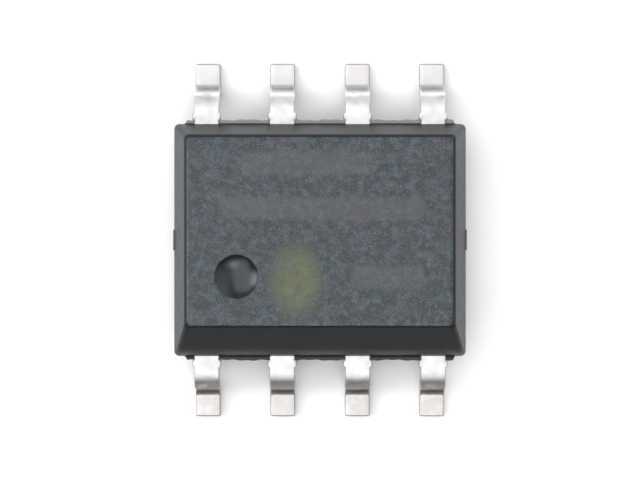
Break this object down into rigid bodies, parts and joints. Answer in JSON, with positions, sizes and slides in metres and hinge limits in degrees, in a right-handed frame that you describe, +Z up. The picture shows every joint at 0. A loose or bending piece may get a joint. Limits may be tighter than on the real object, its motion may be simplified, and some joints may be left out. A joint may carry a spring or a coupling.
{
  "type": "small outline integrated circuit",
  "caption": "Small surface-mount chip: a moulded dark body, bevelled along one side and dimpled beside a corner lead, with rows of gull-wing leads along its long sides.",
  "frame": {"origin": "middle of the body, on the seating plane that the soles of the feet touch", "axes": "+X along the lead rows, from lead 1 to lead 4; +Y across them, away from leads 1 to 4; +Z up, out of the top face"},
  "size_m": [0.005, 0.006, 0.0016],
  "materials": {
    "moulding_compound": "fine-grained dark epoxy moulding compound",
    "bare_copper": "bare stamped copper alloy",
    "die_adhesive": "silver-filled epoxy adhesive",
    "silicon": "polished silicon with metal bond pads",
    "matte_tin": "matte tin plating on copper",
    "gold_wire": "drawn gold wire"
  },
  "bodies": {
    "root": {"mould_body": "moulding_compound", "die_paddle": "bare_copper", "die_attach": "die_adhesive", "silicon_die": "silicon", "lead_1": "matte_tin", "lead_2": "matte_tin", "lead_3": "matte_tin", "lead_4": "matte_tin", "lead_5": "matte_tin", "lead_6": "matte_tin", "lead_7": "matte_tin", "lead_8": "matte_tin", "bond_wire_1": "gold_wire", "bond_wire_2": "gold_wire", "bond_wire_3": "gold_wire", "bond_wire_4": "gold_wire", "bond_wire_5": "gold_wire", "bond_wire_6": "gold_wire", "bond_wire_7": "gold_wire", "bond_wire_8": "gold_wire"}
  },
  "joints": []
}
